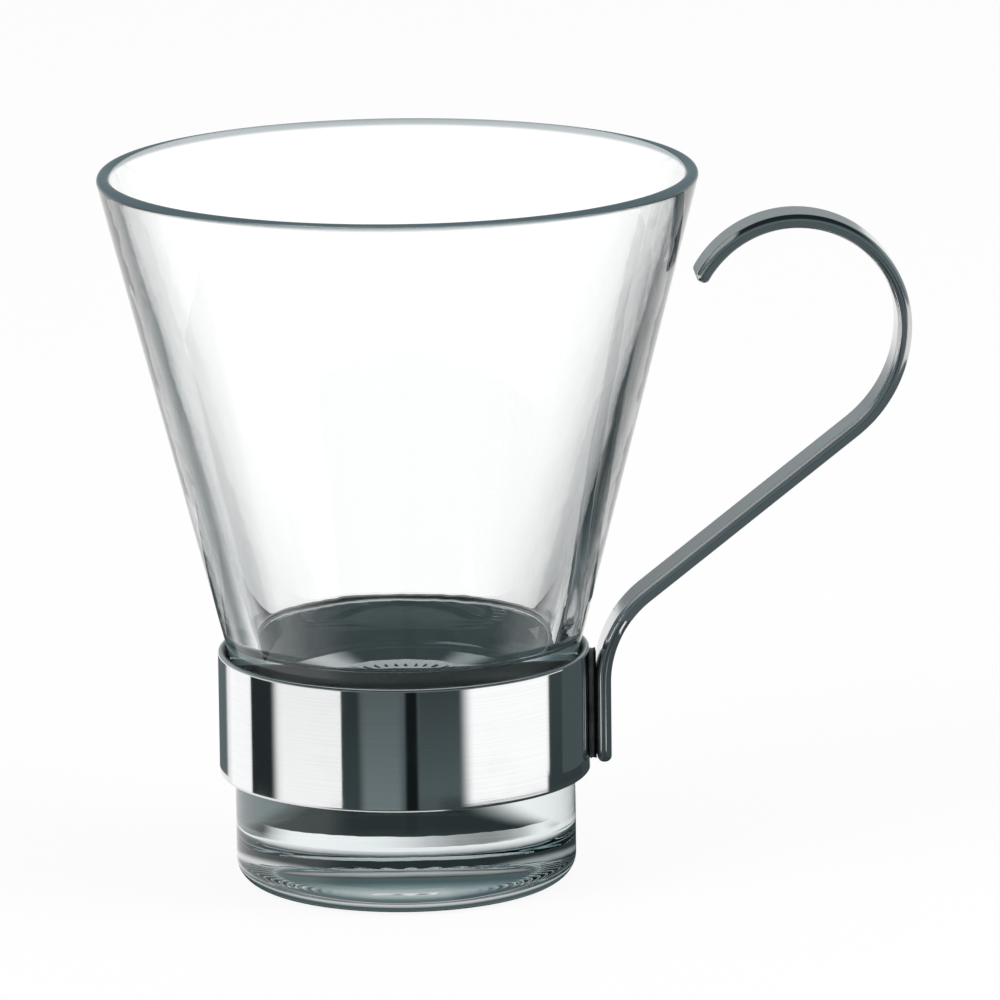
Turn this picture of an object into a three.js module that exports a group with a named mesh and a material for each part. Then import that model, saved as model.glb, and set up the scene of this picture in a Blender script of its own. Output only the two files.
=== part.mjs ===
// Glass demitasse cup: a heavy-footed pressed glass in a polished steel band with a flat strip handle.
// Millimetres, +Z up, handle towards +X. The glass drops into the band from above and seats on its taper.
import * as THREE from 'three';

// Glass
const cupHeight = 79.7;
const rimRadius = 33.2; // outer cone carried up to the rim's height
const rimWall = 1.4;
const footRadius = 18.9;
const footHeight = 23.6; // where the straight foot turns into the cone
const shoulderFillet = 8; // between foot and cone
const heelRadius = 2.5; // rounding of the foot's lower edge
const footRing = 2.9; // width of the flat ring that the cup stands on
const puntDepth = 1.2; // hollow inside that ring
const floorHeight = 27.5; // inside bottom of the bowl
const floorWall = 3.3; // side wall at the height of the bowl's floor
const floorFillet = 0.8;

// Band
const bandBottom = 12.2;
const bandHeight = 13.8;
const bandThickness = 0.8;
const bandEdgeRadius = 0.3;
const seatClearance = 0.3; // band's inner wall to the glass, at the band's upper edge

// Saddle, the block brazed between band and handle
const saddleThickness = 0.65; // how far the handle stands off the band
const saddleWidth = 2.6;
const saddleInset = 0.7; // from the band's edges
const brazeGap = 0.25; // band to the saddle's hollow face

// Handle strip
const stripWidth = 6.1;
const stripThickness = 1.6;
const stripEdgeRadius = 0.72;
const legInset = 0.7; // lower end of the strip, from the band's lower edge
const legLength = 9; // straight stretch along the band
const bendRadius = 12.5; // all bends are measured at the middle of the strip
const riseAngle = THREE.MathUtils.degToRad(38.2);
const lowerLoopRadius = 14.9;
const upperLoopRadius = 11.9;
const tipAngle = THREE.MathUtils.degToRad(153.5); // end of the upper loop, counted from its outermost point
const tipGap = 2.3; // free tip to the glass, measured level

const roundingLimit = 0.45; // most of a sheet's thickness that an edge's rounding may take

// Steps of the round forms
const turnSteps = 64;
const smallArcSteps = 3;
const arcSteps = 6;
const loopSteps = 20;

// Derived sizes
const taper = (rimRadius - footRadius) / (cupHeight - footHeight);
const taperAngle = Math.atan(taper);
const lipRadius = rimWall / 2;
const lipHeight = cupHeight - lipRadius;
const lipCentre = glassRadiusAt(lipHeight) - lipRadius / Math.cos(taperAngle);
const widestRadius = lipCentre + lipRadius;
const puntRadius = footRadius - heelRadius - footRing;
const bandTop = bandBottom + bandHeight;
const bandInnerRadius = glassRadiusAt(bandTop) + seatClearance;
const bandOuterRadius = bandInnerRadius + bandThickness;
const legInnerX = bandOuterRadius + saddleThickness;
const legBottom = bandBottom + legInset;
const halfStrip = stripThickness / 2;
const bandRounding = Math.min(bandEdgeRadius, roundingLimit * bandThickness);
const stripRounding = Math.min(stripEdgeRadius, roundingLimit * stripThickness);

// Outer radius of the glass above its heel.
function glassRadiusAt(height) {
  return footRadius + Math.max(0, height - footHeight) * taper;
}

// Points of a circular arc from one angle to another.
function arc(centreX, centreY, radius, from, to, steps) {
  return Array.from({ length: steps + 1 }, (_, i) => {
    const angle = from + ((to - from) * i) / steps;
    return new THREE.Vector2(centreX + radius * Math.cos(angle), centreY + radius * Math.sin(angle));
  });
}

// Points that round the corner between two straight lines.
function fillet(before, corner, after, radius, steps) {
  const back = before.clone().sub(corner).normalize();
  const ahead = after.clone().sub(corner).normalize();
  const halfAngle = Math.acos(THREE.MathUtils.clamp(back.dot(ahead), -1, 1)) / 2;
  const middle = back.clone().add(ahead).normalize();
  const centre = corner.clone().addScaledVector(middle, radius / Math.sin(halfAngle));
  const start = corner.clone().addScaledVector(back, radius / Math.tan(halfAngle)).sub(centre);
  const end = corner.clone().addScaledVector(ahead, radius / Math.tan(halfAngle)).sub(centre);
  const sweep = Math.atan2(start.cross(end), start.dot(end));
  return arc(centre.x, centre.y, radius, start.angle(), start.angle() + sweep, steps);
}

// Turns a profile of (radius, height) points round the Z axis.
function turned(profile) {
  return new THREE.LatheGeometry(profile, turnSteps).rotateX(Math.PI / 2);
}

// Profile of the glass: from the middle of the foot's hollow, up the outside, over the rim, to the floor.
function glassProfile() {
  const puntCurve = (puntRadius ** 2 + puntDepth ** 2) / (2 * puntDepth);
  const puntHalfAngle = Math.asin(puntRadius / puntCurve);
  const upright = Math.PI / 2;
  const punt = arc(0, puntDepth - puntCurve, puntCurve, upright, upright - puntHalfAngle, arcSteps);
  punt[0].x = 0;
  punt[arcSteps].y = 0;
  const heel = arc(footRadius - heelRadius, heelRadius, heelRadius, -upright, 0, arcSteps);
  const lip = arc(lipCentre, lipHeight, lipRadius, -taperAngle, Math.PI - taperAngle, 2 * arcSteps);

  const shoulder = new THREE.Vector2(footRadius, footHeight);
  const floorCorner = new THREE.Vector2(glassRadiusAt(floorHeight) - floorWall, floorHeight);
  const floorMiddle = new THREE.Vector2(0, floorHeight);
  return [
    ...punt,
    ...heel,
    ...fillet(heel[arcSteps], shoulder, lip[0], shoulderFillet, smallArcSteps),
    ...lip,
    ...fillet(lip[2 * arcSteps], floorCorner, floorMiddle, floorFillet, arcSteps),
    floorMiddle,
  ];
}

// Closed section of the band: a plain sheet with its four edges rounded.
function bandProfile() {
  const quarter = Math.PI / 2;
  const corners = [
    [bandOuterRadius - bandRounding, bandBottom + bandRounding],
    [bandOuterRadius - bandRounding, bandTop - bandRounding],
    [bandInnerRadius + bandRounding, bandTop - bandRounding],
    [bandInnerRadius + bandRounding, bandBottom + bandRounding],
  ];
  const points = corners.flatMap(([radius, height], i) =>
    arc(radius, height, bandRounding, (i - 1) * quarter, i * quarter, smallArcSteps),
  );
  return [...points, points[0].clone()];
}

// Block with a flat face for the strip and a hollow face that follows the band.
function saddleGeometry() {
  const hollowRadius = bandOuterRadius + brazeGap;
  const halfWidth = saddleWidth / 2;
  const halfAngle = Math.asin(halfWidth / hollowRadius);
  const outline = new THREE.Shape([
    new THREE.Vector2(legInnerX, -halfWidth),
    new THREE.Vector2(legInnerX, halfWidth),
    ...arc(0, 0, hollowRadius, halfAngle, -halfAngle, arcSteps),
  ]);
  const depth = bandHeight - 2 * saddleInset;
  return new THREE.ExtrudeGeometry(outline, { depth, bevelEnabled: false });
}

// Side outline of the handle: straight leg, bend, rising stretch, and a loop of two arcs up to a free tip.
function handleOutline() {
  const legX = legInnerX + halfStrip;
  const legTop = legBottom + legLength;
  const rise = new THREE.Vector2(Math.cos(riseAngle), Math.sin(riseAngle));
  const leftOfRise = new THREE.Vector2(-rise.y, rise.x);
  const bend = new THREE.Vector2(legX + bendRadius, legTop);
  const riseStart = bend.clone().addScaledVector(leftOfRise, bendRadius);

  // The rising stretch is as long as it must be for the tip to clear the glass by the tip gap.
  const lowerFromRise = leftOfRise.clone().multiplyScalar(lowerLoopRadius);
  const upperFromLower = new THREE.Vector2(lowerLoopRadius - upperLoopRadius, 0);
  const tipFromUpper = new THREE.Vector2(Math.cos(tipAngle), Math.sin(tipAngle));
  const shortest = riseStart.clone().add(lowerFromRise).add(upperFromLower);
  const tip = shortest.addScaledVector(tipFromUpper, upperLoopRadius + halfStrip);
  const missing = glassRadiusAt(tip.y) + tipGap - tip.x;
  const riseLength = missing / (rise.x - taper * rise.y);

  const lower = riseStart.clone().addScaledVector(rise, riseLength).add(lowerFromRise);
  const upper = lower.clone().add(upperFromLower);
  const loopStart = riseAngle - Math.PI / 2;
  const bendEnd = Math.PI / 2 + riseAngle;
  const side = (offset) => [
    new THREE.Vector2(legX + offset, legBottom),
    ...arc(bend.x, bend.y, bendRadius - offset, Math.PI, bendEnd, arcSteps),
    ...arc(lower.x, lower.y, lowerLoopRadius + offset, loopStart, 0, arcSteps),
    ...arc(upper.x, upper.y, upperLoopRadius + offset, 0, tipAngle, loopSteps).slice(1),
  ];
  const outer = side(halfStrip);
  const inner = side(-halfStrip);
  const reach = lower.x + lowerLoopRadius + halfStrip;
  return { outline: new THREE.Shape([...outer, ...inner.reverse()]), reach };
}

// Strip extruded across its width, with all its edges rounded.
function stripGeometry(outline) {
  const depth = stripWidth - 2 * stripRounding;
  const rounding = {
    bevelEnabled: true,
    bevelThickness: stripRounding,
    bevelSize: stripRounding,
    bevelOffset: -stripRounding,
    bevelSegments: smallArcSteps,
  };
  const geometry = new THREE.ExtrudeGeometry(outline, { depth, steps: 1, ...rounding });
  return geometry.rotateX(Math.PI / 2).translate(0, depth / 2, 0);
}

function piece(name, geometry, material) {
  const mesh = new THREE.Mesh(geometry, new THREE.MeshStandardMaterial(material));
  mesh.name = name;
  return mesh;
}

const clearGlass = { color: 0xe4eeec, roughness: 0.03, metalness: 0, transparent: true, opacity: 0.35 };
const polishedSteel = { color: 0xb9bcbe, roughness: 0.08, metalness: 1 };
const drawnSteel = { color: 0xa9adaf, roughness: 0.16, metalness: 1 };
const brazedSteel = { color: 0x6e6a64, roughness: 0.45, metalness: 1 };

const { outline: handleSide, reach: handleReach } = handleOutline();
const glass = piece('glass', turned(glassProfile()), clearGlass);
const band = piece('band', turned(bandProfile()), polishedSteel);
const saddle = piece('saddle', saddleGeometry(), brazedSteel);
const handle = piece('handle', stripGeometry(handleSide), drawnSteel);
saddle.position.z = bandBottom + saddleInset;

const holder = new THREE.Group();
holder.add(band, saddle, handle);

// The origin is under the middle of the whole cup, on the table, so the glass stands off to the side of it.
const cup = new THREE.Group();
cup.add(glass, holder);
cup.position.x = (widestRadius - handleReach) / 2;

const group = new THREE.Group();
group.add(cup);
export default group;
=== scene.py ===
"""Looks of the glass demitasse cup: fine surfaces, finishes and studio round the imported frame.

Metres, +Z up, handle towards +X. Every surface is a numpy grid, and every finish is a node tree.
"""

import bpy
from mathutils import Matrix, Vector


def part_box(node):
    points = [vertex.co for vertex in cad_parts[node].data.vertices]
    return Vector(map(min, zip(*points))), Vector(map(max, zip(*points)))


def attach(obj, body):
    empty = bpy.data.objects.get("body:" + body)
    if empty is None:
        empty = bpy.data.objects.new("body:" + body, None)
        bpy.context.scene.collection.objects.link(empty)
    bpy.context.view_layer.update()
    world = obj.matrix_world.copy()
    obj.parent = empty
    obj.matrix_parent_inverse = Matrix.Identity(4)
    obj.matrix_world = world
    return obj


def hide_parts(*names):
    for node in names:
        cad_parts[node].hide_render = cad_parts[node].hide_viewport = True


bl_info = {
    "name": "Glass demitasse cup",
    "version": (1, 0, 0),
    "blender": (4, 5, 0),
    "location": "3D View > Sidebar > Cup",
    "description": "Dresses the packed cup with clear glass and polished steel, and lights it",
    "category": "Object",
}

from math import acos, atan, cos, pi, radians, sin, tan

import bpy
import numpy as np
from bpy.props import FloatProperty, FloatVectorProperty, IntProperty, PointerProperty
from mathutils import Matrix, Vector

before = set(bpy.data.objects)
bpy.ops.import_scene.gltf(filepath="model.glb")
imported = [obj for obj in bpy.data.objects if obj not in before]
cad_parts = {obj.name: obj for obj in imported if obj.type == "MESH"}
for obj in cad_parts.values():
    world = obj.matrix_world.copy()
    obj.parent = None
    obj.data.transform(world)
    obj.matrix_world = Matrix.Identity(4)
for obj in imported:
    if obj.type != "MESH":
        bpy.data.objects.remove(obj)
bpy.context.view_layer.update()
GLASS_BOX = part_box("glass")
BAND_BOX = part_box("band")
SADDLE_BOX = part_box("saddle")
HANDLE_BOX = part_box("handle")
AXIS_X = (GLASS_BOX[0].x + GLASS_BOX[1].x) / 2
CUP_HEIGHT = GLASS_BOX[1].z
BAND_RADIUS = (BAND_BOX[1].x - BAND_BOX[0].x) / 2

# Which rays see a studio card: mirrored ones, those through glass, or both.
METAL, GLASS, BOTH = (True, False), (False, True), (True, True)


def length(name, description, default):
    """A size in metres, shown in the panel with its unit."""
    return FloatProperty(name=name, description=description, default=default, unit="LENGTH", precision=5)


def angle(name, description, degrees):
    """An angle, written in degrees and kept in radians."""
    return FloatProperty(name=name, description=description, default=radians(degrees), subtype="ANGLE")


def number(name, description, default):
    """A plain number."""
    return FloatProperty(name=name, description=description, default=default, precision=4)


def colour(name, description, default):
    """A colour in linear light."""
    return FloatVectorProperty(
        name=name, description=description, default=default, subtype="COLOR", size=3, min=0, max=1
    )


class CupGlassSettings(bpy.types.PropertyGroup):
    """Sizes and finish of the glass."""

    rim_radius: length("Rim radius", "Outer cone carried up to the rim's height", 0.0332)
    rim_wall: length("Rim wall", "Wall at the rim, which ends in a full round", 0.0014)
    foot_radius: length("Foot radius", "Radius of the straight foot", 0.0189)
    foot_height: length("Foot height", "Where the straight foot turns into the cone", 0.0236)
    shoulder_fillet: length("Shoulder fillet", "Rounding between foot and cone", 0.008)
    heel_radius: length("Heel radius", "Rounding of the foot's lower edge", 0.0025)
    foot_ring: length("Foot ring", "Width of the ring that the cup stands on", 0.0029)
    punt_depth: length("Punt depth", "Depth of the hollow inside that ring", 0.0012)
    floor_height: length("Floor height", "Inside bottom of the bowl", 0.0275)
    floor_wall: length("Floor wall", "Side wall at the height of the bowl's floor", 0.0033)
    floor_fillet: length("Floor fillet", "Rounding round the bowl's floor", 0.0008)
    nick_depth: length("Nick depth", "Depth of the grip nicks pressed into the punt", 0.00012)
    nick_start: length("Nick start", "Inner end of the nicks, from the axis", 0.0088)
    nick_end: length("Nick end", "Outer end of the nicks, from the axis", 0.0126)
    nicks: IntProperty(name="Nicks", description="Grip nicks round the punt", default=54, min=1)
    turn_steps: IntProperty(name="Turn steps", description="Steps round the axis", default=432, min=24)
    tint: colour("Tint", "Colour that is left after light has crossed the glass", (0.70, 0.88, 0.90))
    tint_density: number("Tint density", "Absorption per metre", 9.0)
    refraction: number("Refraction", "Index of refraction", 1.5)
    # The rim's colour and share set a painted glow: emission on the rim that stands in for light carried up
    # the wall.
    painted_rim_glow: colour("Rim colour", "Light that the wall carries up into the rim", (0.15, 0.215, 0.235))
    painted_rim_glow_share: number("Rim share", "Share of that light in the rim's look", 0.6)


class CupSteelSettings(bpy.types.PropertyGroup):
    """Sizes and finish of band, saddle and handle."""

    band_thickness: length("Band thickness", "Sheet of the band", 0.0008)
    band_edge: length("Band edge", "Rounding of the band's edges", 0.0003)
    band_colour: colour("Band colour", "Reflected colour of the polished band", (0.78, 0.785, 0.79))
    band_roughness: number("Band roughness", "Roughness of the polished band", 0.05)
    saddle_flare: length("Saddle flare", "How far the braze spreads at its two ends", 0.0001)
    saddle_colour: colour("Saddle colour", "Braze between band and handle", (0.4, 0.4, 0.4))
    strip_width: length("Strip width", "Width of the handle's strip", 0.0061)
    strip_thickness: length("Strip thickness", "Thickness of the handle's strip", 0.0016)
    strip_edge: length("Strip edge", "Rounding of the strip's edges", 0.00072)
    leg_length: length("Leg length", "Straight stretch along the band", 0.009)
    bend_radius: length("Bend radius", "First bend, at the middle of the strip", 0.0125)
    rise_angle: angle("Rise angle", "Slope of the rising stretch", 38.2)
    lower_loop: length("Lower loop", "Radius of the loop's lower arc", 0.0149)
    upper_loop: length("Upper loop", "Radius of the loop's upper arc", 0.0119)
    tip_angle: angle("Tip angle", "End of the upper arc, from its outermost point", 153.5)
    handle_colour: colour("Handle colour", "Reflected colour of the drawn strip", (0.64, 0.635, 0.65))
    handle_roughness: number("Handle roughness", "Roughness of the drawn strip", 0.12)


class CupStageSettings(bpy.types.PropertyGroup):
    """Floor, cards, lamps and camera."""

    floor_colour: colour("Floor colour", "Paper that the cup stands on", (0.92, 0.92, 0.92))
    floor_glow: number("Floor glow", "Share of plain white in the floor's look", 0.9)
    dark_colour: colour("Dark colour", "Dark cards and the dim side of the room", (0.66, 0.95, 1.0))
    dome_light: number("Dome light", "Light of the surroundings", 0.55)
    lamp_power: number("Lamp power", "Power of each softbox in watts", 9.0)
    view_distance: length("View distance", "Camera to the cup's axis", 1.0)
    view_height: length("View height", "Point on the axis that the view is measured from", 0.04)
    view_azimuth: angle("View azimuth", "Camera's turn round the cup", -2.2)
    view_elevation: angle("View elevation", "Camera's height above the horizon", 12.565)
    view_pan: number("View pan", "Aim to the right, per unit of distance", 0.01086)
    view_tilt: number("View tilt", "Aim upwards, per unit of distance", 0.002414)
    view_roll: angle("View roll", "Turn of the picture", -0.786)
    view_lens: number("View lens", "Focal length in millimetres on a 36 mm sensor", 325.7)


class Wire:
    """A socket of a node tree. Arithmetic on wires adds Math nodes, and make adds any other node."""

    def __init__(self, tree, socket=None):
        self.tree = tree
        self.socket = socket

    def make(self, kind, settings=None, inputs=None, output=0):
        """Adds a node: its settings first, then values and links of its sockets. Returns one output."""
        node = self.tree.nodes.new(kind)
        for key, value in (settings or {}).items():
            setattr(node, key, value)
        for key, value in (inputs or {}).items():
            if isinstance(value, Wire):
                self.tree.links.new(value.socket, node.inputs[key])
            else:
                node.inputs[key].default_value = value
        return Wire(self.tree, node.outputs[output] if len(node.outputs) else None)

    def math(self, operation, *values):
        return self.make("ShaderNodeMath", {"operation": operation}, dict(enumerate(values)))

    def __add__(self, other):
        return self.math("ADD", self, other)

    def __sub__(self, other):
        return self.math("SUBTRACT", self, other)

    def __rsub__(self, other):
        return self.math("SUBTRACT", other, self)

    def __mul__(self, other):
        return self.math("MULTIPLY", self, other)

    __radd__ = __add__
    __rmul__ = __mul__

    def larger(self, other):
        return self.math("MAXIMUM", self, other)

    def smooth(self, low, high):
        """Zero below low, one above high, and a smooth step between."""
        ends = {"From Min": low, "From Max": high}
        return self.make(
            "ShaderNodeMapRange", {"interpolation_type": "SMOOTHSTEP"}, {"Value": self, **ends}
        )


def new_material(name):
    """An empty node material and the wire that its nodes are made from."""
    material = bpy.data.materials.new(name)
    material.use_nodes = True
    material.node_tree.nodes.clear()
    return material, Wire(material.node_tree)


def rgba(values):
    return (*values, 1.0)


def arc(centre_x, centre_y, radius, start, end, steps):
    """Points of a circle: centre plus radius times the cosine and sine of evenly spaced angles."""
    turn = np.linspace(start, end, steps + 1)
    return np.stack([centre_x + radius * np.cos(turn), centre_y + radius * np.sin(turn)], axis=1)


def straight(start, end, steps):
    """Inner points of a straight line, closer together towards its two ends."""
    share = (1 - np.cos(np.linspace(0, pi, steps + 1)[1:-1])) / 2
    return np.asarray(start) + share[:, None] * (np.asarray(end) - np.asarray(start))


def fillet(before, corner, after, radius, steps):
    """Arc that touches both lines of a corner: its centre lies on their middle line."""
    before, corner, after = map(np.asarray, (before, corner, after))
    back = (before - corner) / np.linalg.norm(before - corner)
    ahead = (after - corner) / np.linalg.norm(after - corner)
    half = acos(np.clip(back @ ahead, -1, 1)) / 2
    middle = (back + ahead) / np.linalg.norm(back + ahead)
    centre = corner + middle * radius / sin(half)
    start = corner + back * radius / tan(half) - centre
    end = corner + ahead * radius / tan(half) - centre
    begin = np.arctan2(start[1], start[0])
    sweep = np.arctan2(start[0] * end[1] - start[1] * end[0], start @ end)
    return arc(centre[0], centre[1], radius, begin, begin + sweep, steps)


def grid_mesh(name, points, uv, wrap_rows=False, wrap_columns=True, poles=None):
    """Mesh of a grid of points, rows by columns, with quads between neighbours.

    Either way of the grid may close on itself, and two pole points may close its first and last row.
    The uv grid has one more row or column than the points where that way closes.
    """
    rows, columns = points.shape[:2]
    i = np.arange(rows if wrap_rows else rows - 1)[:, None]
    j = np.arange(columns if wrap_columns else columns - 1)[None, :]

    def corner(step_i, step_j, height, width):
        return ((i + step_i) % height) * width + (j + step_j) % width

    steps = ((0, 0), (0, 1), (1, 1), (1, 0))
    quads = np.stack([corner(*step, rows, columns) for step in steps], axis=-1).reshape(-1, 4)
    quad_uv = np.stack([corner(*step, *uv.shape[:2]) for step in steps], axis=-1).reshape(-1)
    vertices = points.reshape(-1, 3)
    loop_uv = uv.reshape(-1, 2)[quad_uv]
    faces = [quads]
    if poles is not None:
        count = rows * columns
        vertices = np.concatenate([vertices, np.asarray(poles)])
        around = np.arange(columns)
        after = (around + 1) % columns
        last = (rows - 1) * columns
        first_fan = np.stack([np.full(columns, count), after, around], axis=1)
        last_fan = np.stack([np.full(columns, count + 1), last + around, last + after], axis=1)
        faces += [first_fan, last_fan]
        ring = np.arange(columns)
        first_uv = np.stack([uv[0, ring], uv[0, ring + 1], uv[0, ring]], axis=1)
        last_uv = np.stack([uv[-1, ring], uv[-1, ring], uv[-1, ring + 1]], axis=1)
        loop_uv = np.concatenate([loop_uv, first_uv.reshape(-1, 2), last_uv.reshape(-1, 2)])

    mesh = bpy.data.meshes.new(name)
    mesh.from_pydata(vertices.tolist(), [], [face for part in faces for face in part.tolist()])
    layer = mesh.uv_layers.new(name="UVMap")
    layer.data.foreach_set("uv", loop_uv.astype(np.float32).ravel())
    mesh.polygons.foreach_set("use_smooth", np.ones(len(mesh.polygons), dtype=bool))
    mesh.update()
    return mesh


def add_object(mesh, material):
    """Object at the origin with one material."""
    mesh.materials.append(material)
    made = bpy.data.objects.new(mesh.name, mesh)
    bpy.context.scene.collection.objects.link(made)
    return made


def add_piece(mesh, material, body, slot, *nodes):
    """Piece of the cup that rides on a body and stands for CAD nodes."""
    made = add_object(mesh, material)
    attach(made, body)
    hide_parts(*nodes)
    return made


def turned(profile, steps):
    """Surface of revolution: a profile of radius and height carried round the cup's axis.

    Its uv is the way round at the band's radius and the way along the profile, in metres.
    """
    turn = np.linspace(0, 2 * pi, steps, endpoint=False)
    radius, height = profile[:, :1], profile[:, 1:]
    points = np.stack(
        [AXIS_X + radius * np.cos(turn), radius * np.sin(turn), height + 0 * turn], axis=-1
    )
    run = np.concatenate([[0], np.cumsum(np.linalg.norm(np.diff(profile, axis=0), axis=1))])
    around = np.linspace(0, 2 * pi * BAND_RADIUS, steps + 1)
    uv = np.stack(np.broadcast_arrays(around[None, :], run[:, None]), axis=-1)
    return points, uv


def glass_profile(sizes):
    """Outline of the glass as radius and height, from the punt over foot, cone and rim to the bowl's floor.

    The punt is a shallow spherical cap, the heel and shoulder are arcs, the cone and the bowl's wall are
    straight lines, and the rim is half a circle between them.
    """
    taper = (sizes.rim_radius - sizes.foot_radius) / (CUP_HEIGHT - sizes.foot_height)
    slope = atan(taper)

    def outer(height):
        return sizes.foot_radius + max(0, height - sizes.foot_height) * taper

    punt_radius = sizes.foot_radius - sizes.heel_radius - sizes.foot_ring
    cap = (punt_radius**2 + sizes.punt_depth**2) / (2 * sizes.punt_depth)
    cap_angle = np.arcsin(punt_radius / cap)
    punt = arc(0, sizes.punt_depth - cap, cap, pi / 2, pi / 2 - cap_angle, 48)[1:]
    ring_outer = sizes.foot_radius - sizes.heel_radius
    ring = np.stack([np.linspace(punt_radius, ring_outer, 14)[1:-1], np.zeros(12)], axis=1)
    heel = arc(ring_outer, sizes.heel_radius, sizes.heel_radius, -pi / 2, 0, 14)
    lip_radius = sizes.rim_wall / 2
    lip_height = CUP_HEIGHT - lip_radius
    lip_centre = outer(lip_height) - lip_radius / cos(slope)
    lip = arc(lip_centre, lip_height, lip_radius, -slope, pi - slope, 28)
    shoulder_corner = (sizes.foot_radius, sizes.foot_height)
    shoulder = fillet(heel[-1], shoulder_corner, lip[0], sizes.shoulder_fillet, 10)
    floor_corner = (outer(sizes.floor_height) - sizes.floor_wall, sizes.floor_height)
    floor_fillet = fillet(lip[-1], floor_corner, (0, sizes.floor_height), sizes.floor_fillet, 20)
    pole_share = 0.04
    floor_edge = (floor_fillet[-1, 0] * pole_share, sizes.floor_height)
    return np.concatenate(
        [
            punt,
            ring,
            heel,
            straight(heel[-1], shoulder[0], 16),
            shoulder,
            straight(shoulder[-1], lip[0], 24),
            lip,
            straight(lip[-1], floor_fillet[0], 24),
            floor_fillet,
            straight(floor_fillet[-1], floor_edge, 10),
        ]
    )


def glass_surface(sizes):
    """The turned glass profile, with a ring of grip nicks pressed up into the punt.

    A nick's height is its depth, times the square of a raised cosine of the way round, times the square
    of a sine across the nicks' ring, which is zero at both of its ends.
    """
    profile = glass_profile(sizes)
    points, uv = turned(profile, sizes.turn_steps)
    across = np.clip((profile[:, 0] - sizes.nick_start) / (sizes.nick_end - sizes.nick_start), 0, 1)
    on_punt = (profile[:, 1] < sizes.punt_depth) * np.sin(pi * across) ** 2
    turn = np.linspace(0, 2 * pi, sizes.turn_steps, endpoint=False)
    nick = (0.5 + 0.5 * np.cos(turn * sizes.nicks)) ** 2
    points[:, :, 2] += sizes.nick_depth * on_punt[:, None] * nick[None, :]
    poles = [(AXIS_X, 0, sizes.punt_depth), (AXIS_X, 0, sizes.floor_height)]
    return grid_mesh("glass_body", points, uv, poles=poles)


def band_profile(sizes):
    """Closed outline of the band's sheet: a rectangle of radius and height with four rounded corners."""
    low, high = BAND_BOX[0].z, BAND_BOX[1].z
    inner, edge = BAND_RADIUS - sizes.band_thickness, sizes.band_edge
    corners = [
        (BAND_RADIUS - edge, low + edge),
        (BAND_RADIUS - edge, high - edge),
        (inner + edge, high - edge),
        (inner + edge, low + edge),
    ]
    arcs = [arc(*corner, edge, (k - 1) * pi / 2, k * pi / 2, 8) for k, corner in enumerate(corners)]
    walls = [straight(arcs[k][-1], arcs[(k + 1) % 4][0], (24, 4)[k % 2]) for k in range(4)]
    return np.concatenate([part for pair in zip(arcs, walls) for part in pair])


def band_surface(sizes):
    """The band's closed outline carried round the axis, so that both ways of the grid close."""
    profile = band_profile(sizes)
    points, _ = turned(profile, 360)
    _, uv = turned(np.concatenate([profile, profile[:1]]), 360)
    return grid_mesh("band_ring", points, uv, wrap_rows=True)


def rounded_section(half_thickness, half_width, radius, inset):
    """Outline of the strip's section, a rectangle with round corners, drawn in by an inset all round.

    The corner shrinks by a little less than the inset, so that it never closes to a point.
    """
    shrink = 0.96
    corner = radius - shrink * inset
    thick, wide = half_thickness - inset - corner, half_width - inset - corner
    centres = [(thick, -wide), (thick, wide), (-thick, wide), (-thick, -wide)]
    arcs = [arc(*centre, corner, (k - 1) * pi / 2, k * pi / 2, 6) for k, centre in enumerate(centres)]
    edges = [straight(arcs[k][-1], arcs[(k + 1) % 4][0], (12, 3)[k % 2]) for k in range(4)]
    return np.concatenate([part for pair in zip(arcs, edges) for part in pair])


def handle_path(sizes):
    """Middle line of the strip in the XZ plane, with its unit normals towards the outside of the loop.

    A straight leg, a bend, a rising stretch and two arcs that meet upright at the outermost point. The
    loop's reach comes from the CAD handle's box.
    """
    half = sizes.strip_thickness / 2
    leg_x = HANDLE_BOX[0].x + half
    low = HANDLE_BOX[0].z
    leg_top = low + sizes.leg_length
    rise = np.array([cos(sizes.rise_angle), sin(sizes.rise_angle)])
    left = np.array([-rise[1], rise[0]])
    bend = np.array([leg_x + sizes.bend_radius, leg_top])
    bend_end = pi / 2 + sizes.rise_angle
    rise_start = bend + sizes.bend_radius * left
    lower_x = HANDLE_BOX[1].x - half - sizes.lower_loop
    rise_length = (lower_x - sizes.lower_loop * left[0] - rise_start[0]) / rise[0]
    rise_end = rise_start + rise_length * rise
    lower = rise_end + sizes.lower_loop * left
    upper = lower + np.array([sizes.lower_loop - sizes.upper_loop, 0])
    loop_start = sizes.rise_angle - pi / 2
    bend_arc = arc(*bend, sizes.bend_radius, pi, bend_end, 28)
    lower_arc = arc(*lower, sizes.lower_loop, loop_start, 0, 32)
    edge = sizes.strip_edge
    last = sizes.tip_angle - edge / sizes.upper_loop
    upper_arc = arc(*upper, sizes.upper_loop, 0, last, 72)[1:]
    leg = np.stack([np.full(12, leg_x), np.linspace(low + edge, leg_top, 13)[:-1]], axis=1)
    path = np.concatenate([leg, bend_arc, straight(rise_start, rise_end, 24), lower_arc, upper_arc])
    outward = np.concatenate(
        [
            np.tile([1.0, 0.0], (12, 1)),
            (bend - bend_arc) / sizes.bend_radius,
            np.tile(-left, (23, 1)),
            (lower_arc - lower) / sizes.lower_loop,
            (upper_arc - upper) / sizes.upper_loop,
        ]
    )
    return path, outward


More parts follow.
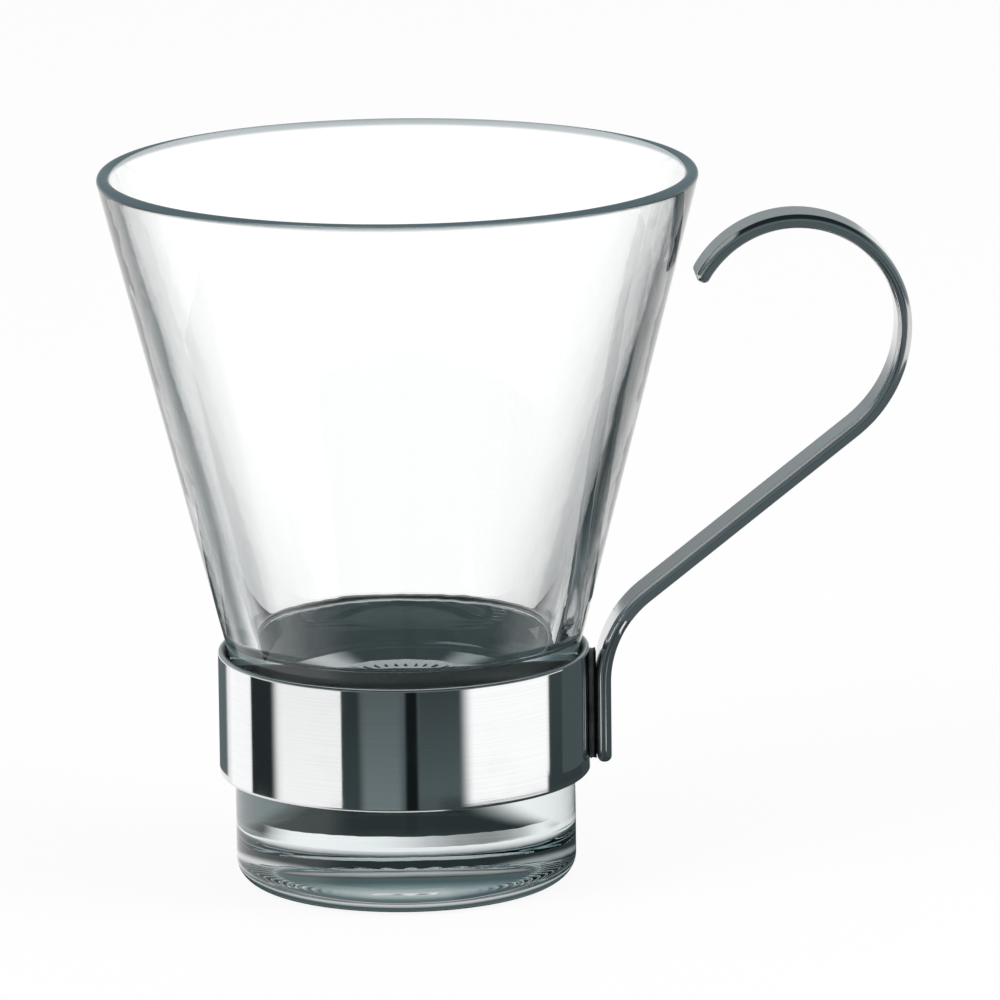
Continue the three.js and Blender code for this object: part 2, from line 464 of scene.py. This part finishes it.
def handle_surface(sizes):
    """The strip's section carried along its middle line, with both ends rounded off.

    Near an end the section is drawn in by the edge radius times one minus the sine of an angle, while
    the line runs on by the edge radius times its cosine, which is a quarter round.
    """
    path, outward = handle_path(sizes)
    edge, half = sizes.strip_edge, sizes.strip_thickness / 2
    quarter = np.linspace(0, pi / 2, 7)[:-1]
    along_start = np.array([outward[0][1], -outward[0][0]])
    along_end = np.array([-outward[-1][1], outward[-1][0]])
    start = path[0] + edge * np.cos(quarter)[:, None] * along_start
    end = path[-1] + edge * np.cos(quarter[::-1])[:, None] * along_end
    stations = np.concatenate([start, path, end])
    normals = np.concatenate([np.tile(outward[0], (6, 1)), outward, np.tile(outward[-1], (6, 1))])
    inset = np.concatenate([edge * (1 - np.sin(quarter)), np.zeros(len(path))])
    inset = np.concatenate([inset, edge * (1 - np.sin(quarter[::-1]))])
    sections = np.stack([rounded_section(half, sizes.strip_width / 2, edge, x) for x in inset])
    flat = stations[:, None, :] + sections[:, :, :1] * normals[:, None, :]
    points = np.stack([flat[..., 0], sections[..., 1], flat[..., 1]], axis=-1)
    run = np.concatenate([[0], np.cumsum(np.linalg.norm(np.diff(stations, axis=0), axis=1))])
    plain = rounded_section(half, sizes.strip_width / 2, edge, 0)
    closed = np.concatenate([plain, plain[:1]])
    around = np.concatenate([[0], np.cumsum(np.linalg.norm(np.diff(closed, axis=0), axis=1))])
    uv = np.stack(np.broadcast_arrays(run[:, None], around[None, :]), axis=-1)
    poles = [points[0].mean(axis=0), points[-1].mean(axis=0)]
    return grid_mesh("handle_strip", points, uv, poles=poles)


def saddle_surface(sizes):
    """Braze between band and strip: a rounded block whose outline spreads at both ends.

    Across the gap the half width and half height grow by the flare times the square of the distance
    from the gap's middle. The inner end follows the band's round, and the outer end is flat.
    """
    share = np.linspace(0, 1, 15)[:, None]
    spread = sizes.saddle_flare * (2 * share - 1) ** 2
    turn = np.linspace(0, 2 * pi, 64, endpoint=False)[None, :]
    low, high = SADDLE_BOX
    half_width = (high.y - low.y) / 2 - sizes.saddle_flare + spread
    half_height = (high.z - low.z) / 2 - sizes.saddle_flare + spread
    squared = (np.abs(np.cos(turn)) ** 8 + np.abs(np.sin(turn)) ** 8) ** (-1 / 8)
    across = half_width * squared * np.cos(turn)
    height = (low.z + high.z) / 2 + half_height * squared * np.sin(turn)
    braze_radius = BAND_RADIUS + 0.00002
    inner = AXIS_X + np.sqrt(braze_radius**2 - across**2)
    points = np.stack([inner + share * (high.x - inner), across, height], axis=-1)
    uv = np.stack(np.broadcast_arrays(share, np.linspace(0, 1, 65)[None, :]), axis=-1)
    middle = (low.z + high.z) / 2
    poles = [(AXIS_X + braze_radius, 0, middle), (high.x, 0, middle)]
    return grid_mesh("saddle_braze", points, uv, poles=poles)


def glass_finish(look):
    """Clear pressed glass: softly waved from the mould, with faint wipe marks and a green body.

    The rim carries a painted glow, an emission that stands in for the light that runs up inside the wall.
    """
    material, wire = new_material("clear_pressed_glass")
    place = wire.make("ShaderNodeTexCoord", output="Object")
    wave = wire.make("ShaderNodeTexNoise", None, {"Vector": place, "Scale": 95.0, "Detail": 1.5})
    ripple = wire.make("ShaderNodeTexNoise", None, {"Vector": place, "Scale": 420.0, "Detail": 1.0})
    wiped = wire.make("ShaderNodeTexNoise", None, {"Vector": place, "Scale": 60.0, "Detail": 6.0})
    bump = wire.make(
        "ShaderNodeBump",
        None,
        {"Strength": 0.35, "Distance": 0.00012, "Height": wave + ripple * 0.16},
    )
    shader = wire.make(
        "ShaderNodeBsdfPrincipled",
        None,
        {
            "Base Color": (1.0, 1.0, 1.0, 1.0),
            "Roughness": wiped.smooth(0.52, 0.78) * 0.012,
            "IOR": look.refraction,
            "Transmission Weight": 1.0,
            "Normal": bump,
        },
    )
    body = wire.make(
        "ShaderNodeVolumeAbsorption", None, {"Color": rgba(look.tint), "Density": look.tint_density}
    )
    height = wire.make("ShaderNodeSeparateXYZ", None, {"Vector": place}, output="Z")
    # Painted light: the rim's top is mixed with an emission that stands in for light carried up inside the
    # wall.
    rim_start, rim_full = CUP_HEIGHT - 0.6 * look.rim_wall, CUP_HEIGHT - 0.3 * look.rim_wall
    rim = height.smooth(rim_start, rim_full) * look.painted_rim_glow_share
    painted_rim_emission = wire.make("ShaderNodeEmission", None, {"Color": rgba(look.painted_rim_glow)})
    mixed = wire.make("ShaderNodeMixShader", None, {0: rim, 1: shader, 2: painted_rim_emission})
    wire.make("ShaderNodeOutputMaterial", None, {"Surface": mixed, "Volume": body})
    material.cycles.emission_sampling = "NONE"
    return material


def steel_finish(name, base, roughness, stretch, grain_depth, painted_shade_radius=0.0):
    """Polished sheet: fine lines along the uv's first way, soft rolling marks, and faint handling haze.

    The stretch is how often the lines change along and across, per metre. Nearer to the cup's axis than
    the painted shade radius the sheet is rough as it came from the mill, and its colour is darkened there as
    painted shade.
    """
    material, wire = new_material(name)
    uv = wire.make("ShaderNodeTexCoord", output="UV")
    place = wire.make("ShaderNodeTexCoord", output="Object")
    level = wire.make(
        "ShaderNodeVectorMath",
        {"operation": "MULTIPLY_ADD"},
        {0: place, 1: (1, 1, 0), 2: (-AXIS_X, 0, 0)},
    )
    radius = wire.make("ShaderNodeVectorMath", {"operation": "LENGTH"}, {0: level}, output="Value")
    polished = radius.smooth(painted_shade_radius - 0.0001, painted_shade_radius + 0.0001)
    lined = wire.make("ShaderNodeMapping", None, {"Vector": uv, "Scale": (*stretch, 1.0)})
    lines = wire.make("ShaderNodeTexNoise", None, {"Vector": lined, "Scale": 1.0, "Detail": 3.0})
    rolled = wire.make("ShaderNodeTexNoise", None, {"Vector": place, "Scale": 140.0, "Detail": 2.0})
    haze = wire.make("ShaderNodeTexNoise", None, {"Vector": place, "Scale": 220.0, "Detail": 7.0})
    shade = wire.make(
        "ShaderNodeMix",
        {"data_type": "RGBA"},
        {
            "Factor": lines.smooth(0.3, 0.7) * 0.6 + haze.smooth(0.45, 0.75) * 0.4,
            6: rgba(base),
            7: rgba([0.93 * value for value in base]),
        },
        output=2,
    )
    # Painted shade: inside that radius the colour drops to a third of the base, shade painted on the inner
    # face.
    inner_face_painted_shade = wire.make(
        "ShaderNodeMix",
        {"data_type": "RGBA"},
        {"Factor": polished, 6: rgba([0.35 * value for value in base]), 7: shade},
        output=2,
    )
    bump = wire.make(
        "ShaderNodeBump",
        None,
        {"Strength": 0.5, "Distance": grain_depth, "Height": lines * 0.25 + rolled},
    )
    shine = roughness + lines.smooth(0.35, 0.8) * 0.015 + haze.smooth(0.5, 0.8) * 0.03
    shader = wire.make(
        "ShaderNodeBsdfPrincipled",
        None,
        {
            "Base Color": inner_face_painted_shade,
            "Metallic": 1.0,
            "Roughness": shine + 0.25 * (1 - polished),
            "Normal": bump,
        },
    )
    wire.make("ShaderNodeOutputMaterial", None, {"Surface": shader})
    return material


def braze_finish(base):
    """Brazed joint: dark, grainy and patchy from the torch, and painted black along the strip as shade in
    the gap.
    """
    material, wire = new_material("brazed_saddle_steel")
    place = wire.make("ShaderNodeTexCoord", output="Object")
    patches = wire.make("ShaderNodeTexNoise", None, {"Vector": place, "Scale": 380.0, "Detail": 5.0})
    grains = wire.make("ShaderNodeTexNoise", None, {"Vector": place, "Scale": 2600.0, "Detail": 2.0})
    shade = wire.make(
        "ShaderNodeMix",
        {"data_type": "RGBA"},
        {
            "Factor": patches.smooth(0.35, 0.7),
            6: rgba(base),
            7: rgba((0.42 * base[0], 0.40 * base[1], 0.42 * base[2])),
        },
        output=2,
    )
    # Painted shade: the end towards the strip is painted black, for the shade in the gap between band and
    # leg.
    outward = wire.make("ShaderNodeSeparateXYZ", None, {"Vector": place}, output="X")
    painted_gap_shade = wire.make(
        "ShaderNodeMix",
        {"data_type": "RGBA"},
        {
            "Factor": outward.smooth(SADDLE_BOX[1].x - 0.0004, SADDLE_BOX[1].x - 0.0002),
            6: shade,
            7: (0.01, 0.01, 0.01, 1.0),
        },
        output=2,
    )
    bump = wire.make(
        "ShaderNodeBump", None, {"Strength": 0.6, "Distance": 0.0001, "Height": patches + grains * 0.3}
    )
    shader = wire.make(
        "ShaderNodeBsdfPrincipled",
        None,
        {"Base Color": painted_gap_shade, "Metallic": 0.9, "Roughness": 0.34 + grains * 0.2, "Normal": bump},
    )
    wire.make("ShaderNodeOutputMaterial", None, {"Surface": shader})
    return material


def floor_finish(stage):
    """Pale paper that takes the cup's shadow, with a share of plain white for the eye, metal and glass."""
    material, wire = new_material("studio_paper")
    seen = wire.make("ShaderNodeLightPath", output="Is Camera Ray")
    mirrored = wire.make("ShaderNodeLightPath", output="Is Glossy Ray")
    through = wire.make("ShaderNodeLightPath", output="Is Transmission Ray")
    paper = wire.make("ShaderNodeBsdfDiffuse", None, {"Color": rgba(stage.floor_colour)})
    white = wire.make("ShaderNodeEmission", None, {"Strength": 1.0})
    mixed = wire.make(
        "ShaderNodeMixShader",
        None,
        {0: seen.larger(mirrored).larger(through) * stage.floor_glow, 1: paper, 2: white},
    )
    wire.make("ShaderNodeOutputMaterial", None, {"Surface": mixed})
    return material


def card_finish(name, tones, soft):
    """Studio card whose grey runs from its near to its far end, and which fades out at its two sides.

    The darker the card, the more it takes the colour of the dark cards.
    """
    material, wire = new_material(name)
    uv = wire.make("ShaderNodeTexCoord", output="UV")
    across = wire.make("ShaderNodeSeparateXYZ", None, {"Vector": uv}, output="X")
    along = wire.make("ShaderNodeSeparateXYZ", None, {"Vector": uv}, output="Y")
    near, far = tones
    pale = min(1, near + far)
    tint = rgba([value + pale * (1 - value) for value in bpy.context.scene.cup_stage.dark_colour])
    glow = wire.make("ShaderNodeEmission", None, {"Color": tint, "Strength": along * (far - near) + near})
    clear = wire.make("ShaderNodeBsdfTransparent")
    shown = across.smooth(0, soft[0]) * (1 - across).smooth(0, soft[1])
    mixed = wire.make("ShaderNodeMixShader", None, {0: shown, 1: clear, 2: glow})
    wire.make("ShaderNodeOutputMaterial", None, {"Surface": mixed})
    material.cycles.emission_sampling = "NONE"
    return material


def add_card(mesh, tones, soft, seen_by):
    """Card that metal or glass sees, and that the camera, the light and the shadows pass by."""
    card = add_object(mesh, card_finish(mesh.name, tones, soft))
    card.visible_camera = card.visible_diffuse = card.visible_shadow = False
    card.visible_glossy, card.visible_transmission = seen_by


def table_card(name, radius, sides, reach, height):
    """Card that lies level like a fan, on the table or above it.

    Its point at angle t and distance d is the point of a circle round the cup at half that angle, plus d
    along the direction of angle t, which is where a mirror cylinder of that radius sends the view.
    Angles are counted from the camera to the right.
    """
    stage = bpy.context.scene.cup_stage
    facing = np.array([sin(stage.view_azimuth), -cos(stage.view_azimuth)])
    right = np.array([cos(stage.view_azimuth), sin(stage.view_azimuth)])
    turn = np.radians(np.linspace(*sides, 49))[None, :, None]
    distance = np.linspace(*reach, 4)[:, None, None]
    start = radius * (np.cos(turn / 2) * facing + np.sin(turn / 2) * right)
    flat = start + distance * (np.cos(turn) * facing + np.sin(turn) * right)
    points = np.stack([AXIS_X + flat[..., 0], flat[..., 1], np.full(flat.shape[:2], height)], axis=-1)
    uv = np.stack(
        np.broadcast_arrays(np.linspace(0, 1, 49)[None, :], np.linspace(0, 1, 4)[:, None]), axis=-1
    )
    return grid_mesh(name, points, uv, wrap_columns=False)


def standing_card(name, start, end, heights):
    """Upright card: a straight line between two points of the table, carried from one height to another.

    Both points are counted from the cup's axis.
    """
    u, v = np.meshgrid(np.linspace(0, 1, 9), np.linspace(0, 1, 9), indexing="xy")
    x = AXIS_X + start[0] + u * (end[0] - start[0])
    y = start[1] + u * (end[1] - start[1])
    z = heights[0] + v * (heights[1] - heights[0])
    return grid_mesh(name, np.stack([x, y, z], axis=-1), np.stack([u, v], axis=-1), wrap_columns=False)


def add_lamp(name, turn, height, distance, size, power, lit):
    """Square softbox that looks at the cup from a direction round it and lights a collection."""
    data = bpy.data.lights.new(name, "AREA")
    data.shape = "SQUARE"
    data.size = size
    data.energy = power
    lamp = bpy.data.objects.new(name, data)
    lamp.location = (AXIS_X + distance * sin(turn), -distance * cos(turn), height)
    aim = Vector((AXIS_X, 0, 0.03)) - lamp.location
    lamp.rotation_euler = aim.to_track_quat("-Z", "Y").to_euler()
    lamp.visible_camera = lamp.visible_glossy = False
    lamp.light_linking.receiver_collection = lit
    bpy.context.scene.collection.objects.link(lamp)


def add_dome(stage):
    """World: white to the eye, and a soft dome for the rest, dim overhead and behind the camera."""
    world = bpy.data.worlds.new("studio_dome")
    world.use_nodes = True
    world.node_tree.nodes.clear()
    wire = Wire(world.node_tree)
    seen = wire.make("ShaderNodeLightPath", output="Is Camera Ray")
    bounced = wire.make("ShaderNodeLightPath", output="Is Diffuse Ray")
    way = wire.make("ShaderNodeTexCoord", output="Generated")
    upward = wire.make("ShaderNodeSeparateXYZ", None, {"Vector": way}, output="Z")
    through = wire.make("ShaderNodeLightPath", output="Is Transmission Ray")
    behind = wire.make("ShaderNodeSeparateXYZ", None, {"Vector": way}, output="Y").smooth(-0.4, 0.2)
    mirrored_light = 0.03 + (0.17 + 0.2 * behind) * (1 - upward.smooth(0.4, 0.75))
    through_light = 0.12 + 0.88 * (1 - upward.smooth(0.03, 0.14)) + 0.4 * upward.smooth(0.35, 0.6)
    light = mirrored_light + through * (through_light - mirrored_light)
    strength = seen.larger((1 - bounced) * light) + bounced * stage.dome_light
    tint = wire.make(
        "ShaderNodeMix",
        {"data_type": "RGBA"},
        {"Factor": strength.smooth(0.1, 0.6), 6: rgba(stage.dark_colour), 7: (1, 1, 1, 1)},
        output=2,
    )
    glow = wire.make("ShaderNodeBackground", None, {"Color": tint, "Strength": strength})
    wire.make("ShaderNodeOutputWorld", None, {"Surface": glow})
    bpy.context.scene.world = world


def add_camera(stage):
    """Camera at the photograph's angle: turned, raised, aimed a little off the axis, and rolled."""
    turn, rise = stage.view_azimuth, stage.view_elevation
    back = Vector((sin(turn) * cos(rise), -cos(turn) * cos(rise), sin(rise)))
    right = Vector((cos(turn), sin(turn), 0))
    up = right.cross(-back)
    look = (right * stage.view_pan + up * stage.view_tilt - back).normalized()
    side = look.cross(up).normalized()
    top = side.cross(look)
    roll = stage.view_roll
    rolled_side = side * cos(roll) + top * sin(roll)
    rolled_top = top * cos(roll) - side * sin(roll)
    data = bpy.data.cameras.new("photo_camera")
    data.sensor_width = 36
    data.lens = stage.view_lens
    data.clip_start, data.clip_end = 0.01, 20
    camera = bpy.data.objects.new("photo_camera", data)
    turned_view = Matrix((rolled_side, rolled_top, -look)).transposed().to_4x4()
    place = Vector((AXIS_X, 0, stage.view_height)) + back * stage.view_distance
    camera.matrix_world = Matrix.Translation(place) @ turned_view
    bpy.context.scene.collection.objects.link(camera)
    bpy.context.scene.camera = camera


class CUP_OT_glass(bpy.types.Operator):
    """Make the glass with its foot, cone, rim and bowl"""

    bl_idname = "cup.glass"
    bl_label = "Glass"

    def execute(self, context):
        sizes = context.scene.cup_glass
        add_piece(glass_surface(sizes), glass_finish(sizes), "glass", "glass", "glass")
        return {"FINISHED"}


class CUP_OT_band(bpy.types.Operator):
    """Make the polished band round the waist"""

    bl_idname = "cup.band"
    bl_label = "Band"

    def execute(self, context):
        sizes = context.scene.cup_steel
        finish = steel_finish(
            "polished_band_steel",
            sizes.band_colour,
            sizes.band_roughness,
            (60.0, 5200.0),
            0.000012,
            # Inside this radius the band's inner face gets painted shade.
            BAND_RADIUS - sizes.band_thickness / 2,
        )
        add_piece(band_surface(sizes), finish, "holder", "band", "band")
        return {"FINISHED"}


class CUP_OT_saddle(bpy.types.Operator):
    """Make the braze between band and handle"""

    bl_idname = "cup.saddle"
    bl_label = "Saddle"

    def execute(self, context):
        sizes = context.scene.cup_steel
        add_piece(saddle_surface(sizes), braze_finish(sizes.saddle_colour), "holder", "saddle", "saddle")
        return {"FINISHED"}


class CUP_OT_handle(bpy.types.Operator):
    """Make the bent strip handle"""

    bl_idname = "cup.handle"
    bl_label = "Handle"

    def execute(self, context):
        sizes = context.scene.cup_steel
        finish = steel_finish(
            "drawn_strip_steel", sizes.handle_colour, sizes.handle_roughness, (45.0, 4200.0), 0.000008
        )
        add_piece(handle_surface(sizes), finish, "holder", "handle", "handle")
        return {"FINISHED"}


class CUP_OT_stage(bpy.types.Operator):
    """Make floor, cards, lamps, surroundings and camera"""

    bl_idname = "cup.stage"
    bl_label = "Stage"

    def execute(self, context):
        stage = context.scene.cup_stage
        sides = np.linspace(-3, 3, 7)
        flat = np.stack(np.meshgrid(sides, sides, indexing="xy") + [np.zeros((7, 7))], axis=-1)
        floor = add_object(grid_mesh("floor", flat, flat[..., :2], wrap_columns=False), floor_finish(stage))
        # Name, sides in degrees, reach in metres, tones from near to far, and fades at the two sides.
        mirror_cards = [
            ("left_dim_card", (-176, -141), (0.05, 0.118), (0.16, 0.16), (0.05, 0.2)),
            ("left_back_white_card", (-141, -110), (0.045, 0.13), (1.2, 1.2), (0.2, 0.1)),
            ("left_black_card", (-111, -84), (0.045, 0.13), (0.03, 0.03), (0.05, 0.3)),
            ("left_white_card", (-86, -39), (0.045, 0.13), (1.15, 1.05), (0.12, 0.03)),
            ("front_left_card", (-40, -26), (0.04, 0.13), (0.07, 0.03), (0.05, 0.3)),
            ("front_grey_card", (-29, 0.5), (0.04, 0.14), (0.24, 0.08), (0.2, 0.2)),
            ("front_black_card", (-1, 9), (0.03, 0.2), (0.012, 0.012), (0.25, 0.25)),
            ("front_right_card", (7, 37), (0.05, 0.13), (0.13, 0.03), (0.1, 0.15)),
            ("right_white_card", (33, 101), (0.045, 0.13), (1.25, 1.25), (0.16, 0.05)),
            ("right_dark_card", (100, 146), (0.045, 0.118), (0.055, 0.07), (0.04, 0.1)),
        ]
        # Each card lies a little above the one before it, so a later card covers an earlier one.
        lowest, step = 0.0004, 0.0001
        for level, (name, sides, reach, tones, soft) in enumerate(mirror_cards):
            height = lowest + step * level
            mesh = table_card(name, BAND_RADIUS, sides, reach, height)
            add_card(mesh, tones, soft, METAL)
        # Name, sides, reach, height above the table, tones, fades, and what sees the card.
        table_cards = [
            ("front_dark_card", (-50, 50), (0.03, 0.45), 0.0002, (0.1, 0.2), (0.2, 0.2), METAL),
            ("front_far_card", (-60, 60), (0.45, 2.9), 0.0002, (0.06, 0.06), (0.2, 0.2), METAL),
            ("handle_dark_card", (15, 150), (0.015, 0.072), 0.0003, (0.07, 0.07), (0.05, 0.05), METAL),
            ("handle_low_card", (25, 120), (0.0235, 0.12), 0.029, (0.15, 0.15), (0.05, 0.05), METAL),
            ("left_graded_card", (-172, -110), (0.05, 0.9), 0.0002, (0.12, 0.12), (0.6, 0.4), GLASS),
            ("right_graded_card", (110, 173), (0.05, 0.9), 0.0002, (0.05, 0.05), (0.4, 0.5), GLASS),
            ("front_near_card", (-80, 80), (0.0178, 0.09), 0.0002, (0.028, 0.028), (0.15, 0.15), GLASS),
            ("back_white_card", (164, 196), (0.11, 0.9), 0.0004, (1.16, 1.16), (0.3, 0.3), GLASS),
            # Painted shadow: a dark disc under the foot, standing for the shade on the table beneath it.
            ("foot_painted_shadow_card", (-190, 190), (0.0, 0.0195), 0.0002, (0.03, 0.03), (0.0001, 0.0001), BOTH),
            ("left_glint_card", (-160, -126), (0.0115, 0.0175), 0.0003, (0.6, 0.6), (0.45, 0.45), GLASS),
            ("right_glint_card", (136, 162), (0.0115, 0.0165), 0.0003, (0.35, 0.35), (0.45, 0.45), GLASS),
            ("foot_side_card", (100, 176), (0.019, 0.06), 0.0003, (0.2, 0.2), (0.2, 0.1), GLASS),
            # Painted shadow: a dark card behind the foot, standing for the shaded table that the glass shows
            # there.
            ("foot_back_painted_shadow_card", (164, 192), (0.019, 0.046), 0.0004, (0.028, 0.028), (0.3, 0.3), GLASS),
        ]
        for name, sides, reach, height, tones, soft, seen_by in table_cards:
            add_card(table_card(name, 0.0, sides, reach, height), tones, soft, seen_by)
        # Name, start, end, heights, tone at the foot and at the top, fade at both sides, and what sees it.
        standing_cards = [
            ("leg_dark_card", (0.0245, -0.009), (0.0245, 0.003), (0.012, 0.027), 0.1, 0.1, 0.05, METAL),
            ("back_grey_card", (-0.02, 0.146), (0.03, 0.146), (0.03, 0.075), 0.25, 0.4, 0.2, METAL),
            ("heel_white_card", (-0.003, 0.0235), (0.003, 0.0235), (0.0005, 0.0015), 0.95, 0.95, 0.5, GLASS),
            ("low_white_card", (-0.045, 0.05), (0.045, 0.05), (0.0005, 0.013), 0.95, 0.02, 0.2, GLASS),
        ]
        for name, start, end, heights, low, high, soft, seen_by in standing_cards:
            mesh = standing_card(name, start, end, heights)
            add_card(mesh, (low, high), (soft, soft), seen_by)
        paper = bpy.data.collections.new("lit_paper")
        paper.objects.link(floor)
        add_lamp("left_softbox", radians(-55), 0.9, 1.1, 0.7, stage.lamp_power, paper)
        add_lamp("right_softbox", radians(70), 0.9, 1.1, 0.7, stage.lamp_power, paper)
        add_dome(stage)
        add_camera(stage)
        context.scene.view_settings.view_transform = "Standard"
        return {"FINISHED"}


class CUP_PT_panel(bpy.types.Panel):
    """Pieces of the cup and their settings"""

    bl_idname = "CUP_PT_panel"
    bl_label = "Demitasse cup"
    bl_space_type = "VIEW_3D"
    bl_region_type = "UI"
    bl_category = "Cup"

    def draw(self, context):
        for operator in (CUP_OT_glass, CUP_OT_band, CUP_OT_saddle, CUP_OT_handle, CUP_OT_stage):
            self.layout.operator(operator.bl_idname)
        scene = context.scene
        for settings in (scene.cup_glass, scene.cup_steel, scene.cup_stage):
            box = self.layout.box()
            for name in settings.__annotations__:
                box.prop(settings, name)


CLASSES = (
    CupGlassSettings,
    CupSteelSettings,
    CupStageSettings,
    CUP_OT_glass,
    CUP_OT_band,
    CUP_OT_saddle,
    CUP_OT_handle,
    CUP_OT_stage,
    CUP_PT_panel,
)


def register():
    for item in CLASSES:
        bpy.utils.register_class(item)
    bpy.types.Scene.cup_glass = PointerProperty(type=CupGlassSettings)
    bpy.types.Scene.cup_steel = PointerProperty(type=CupSteelSettings)
    bpy.types.Scene.cup_stage = PointerProperty(type=CupStageSettings)


def unregister():
    del bpy.types.Scene.cup_glass, bpy.types.Scene.cup_steel, bpy.types.Scene.cup_stage
    for item in reversed(CLASSES):
        bpy.utils.unregister_class(item)


def main():
    register()
    bpy.ops.cup.glass()
    bpy.ops.cup.band()
    bpy.ops.cup.saddle()
    bpy.ops.cup.handle()
    bpy.ops.cup.stage()


if __name__ == "__main__":
    main()
